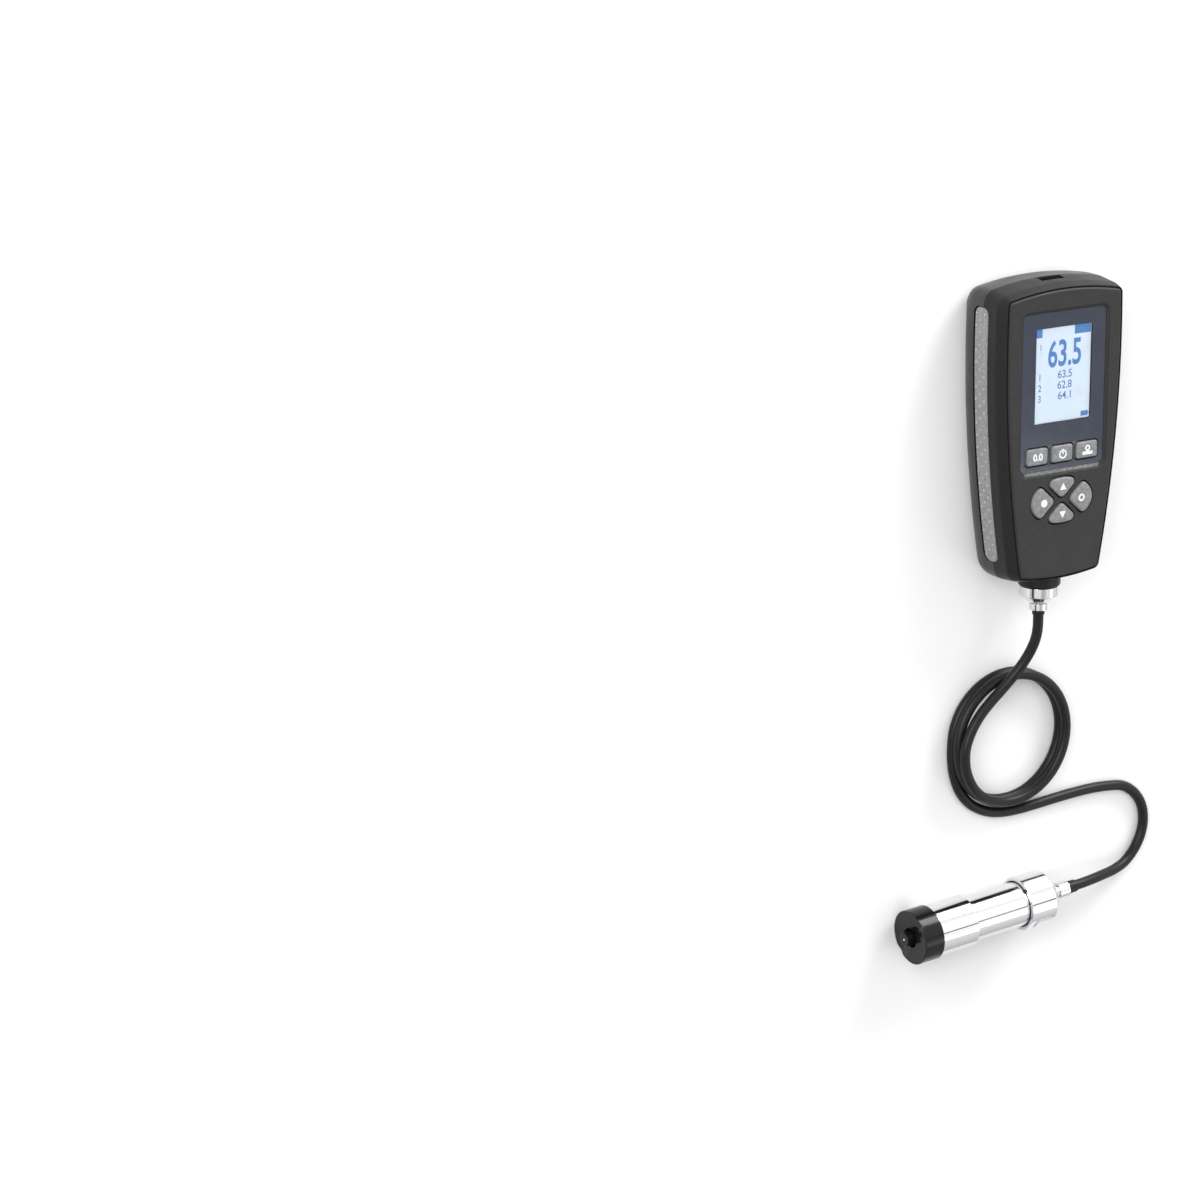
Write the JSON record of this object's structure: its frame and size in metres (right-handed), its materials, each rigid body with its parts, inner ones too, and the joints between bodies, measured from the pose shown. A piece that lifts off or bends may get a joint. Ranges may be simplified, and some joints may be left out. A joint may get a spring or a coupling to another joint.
{
  "type": "coating thickness gauge",
  "caption": "Hand-held coating thickness gauge lying on its back: tapered case with display, keys and side grips, screwed plug, coiled cable and a turned probe with a sprung sensor pin.",
  "frame": {"origin": "centre of the meter's back, on the plane it lies on", "axes": "+X to the meter's right, +Y to its top end, +Z out of its front"},
  "size_m": [0.1525, 0.3258, 0.0366],
  "materials": {
    "shell": "fine moulded texture",
    "grip": "soft, with raised dots",
    "window": "printed clear sheet",
    "glass": "clear, lit from behind",
    "frame_white": "white diffuser",
    "key": "satin",
    "mat": "matt",
    "board": "solder mask",
    "black_plastic": "satin",
    "steel": "plain",
    "cell": "printed sleeve",
    "chrome": "polished",
    "cable": "satin jacket",
    "brass": "plain"
  },
  "bodies": {
    "gauge": {"front_shell": "shell", "rear_shell": "shell", "grip_left": "grip", "grip_right": "grip", "display_window": "window", "lcd_glass": "glass", "lcd_frame": "frame_white", "keypad_mat": "mat", "main_board": "board", "buzzer": "black_plastic", "usb_socket": "black_plastic", "case_screws": "steel", "battery_cells": "cell", "battery_springs": "steel", "battery_plates": "steel", "socket_body": "black_plastic", "socket_nut": "steel", "plug_body": "chrome", "clamp_ring": "chrome", "plug_boot": "cable", "cable_run_gauge": "cable", "cable_coil": "cable", "cable_run_probe": "cable", "probe_boot": "cable", "probe_gland": "chrome", "rear_collar": "chrome", "collar_seal": "cable", "probe_tube": "chrome", "front_sleeve": "chrome", "nose_cap": "black_plastic", "pin_spring": "steel", "spring_seat": "brass"},
    "calibrate_key": {"key_calibrate": "key"},
    "power_key": {"key_power": "key"},
    "print_key": {"key_print": "key"},
    "up_key": {"pad_up": "key"},
    "down_key": {"pad_down_key": "key"},
    "left_key": {"pad_left": "key"},
    "right_key": {"pad_right": "key"},
    "door": {"battery_door": "shell"},
    "coupling": {"coupling_nut": "chrome"},
    "pin": {"sensor_pin": "black_plastic", "pole_tip": "steel"}
  },
  "joints": [
    {"name": "calibrate_key_press", "type": "slide", "parent": "gauge", "child": "calibrate_key", "axis": [0, 0, -1], "range_m": [0, 0.0008], "stiffness_N_per_m": 2500},
    {"name": "power_key_press", "type": "slide", "parent": "gauge", "child": "power_key", "axis": [0, 0, -1], "range_m": [0, 0.0008], "stiffness_N_per_m": 2500},
    {"name": "print_key_press", "type": "slide", "parent": "gauge", "child": "print_key", "axis": [0, 0, -1], "range_m": [0, 0.0008], "stiffness_N_per_m": 2500},
    {"name": "up_key_press", "type": "slide", "parent": "gauge", "child": "up_key", "axis": [0, 0, -1], "range_m": [0, 0.0008], "stiffness_N_per_m": 2500},
    {"name": "down_key_press", "type": "slide", "parent": "gauge", "child": "down_key", "axis": [0, 0, -1], "range_m": [0, 0.0008], "stiffness_N_per_m": 2500},
    {"name": "left_key_press", "type": "slide", "parent": "gauge", "child": "left_key", "axis": [0, 0, -1], "range_m": [0, 0.0008], "stiffness_N_per_m": 2500},
    {"name": "right_key_press", "type": "slide", "parent": "gauge", "child": "right_key", "axis": [0, 0, -1], "range_m": [0, 0.0008], "stiffness_N_per_m": 2500},
    {"name": "door_slide", "type": "slide", "parent": "gauge", "child": "door", "axis": [0, -1, 0], "range_m": [0, 0.012]},
    {"name": "coupling_turn", "type": "hinge", "parent": "gauge", "child": "coupling", "pos_m": [0, -0.0785, 0.02], "axis": [0, -1, 0], "continuous": true},
    {"name": "pin_press", "type": "slide", "parent": "gauge", "child": "pin", "axis": [0.9969, 0.0785, 0], "range_m": [0, 0.003], "stiffness_N_per_m": 500, "deforming": ["pin_spring"]}
  ]
}
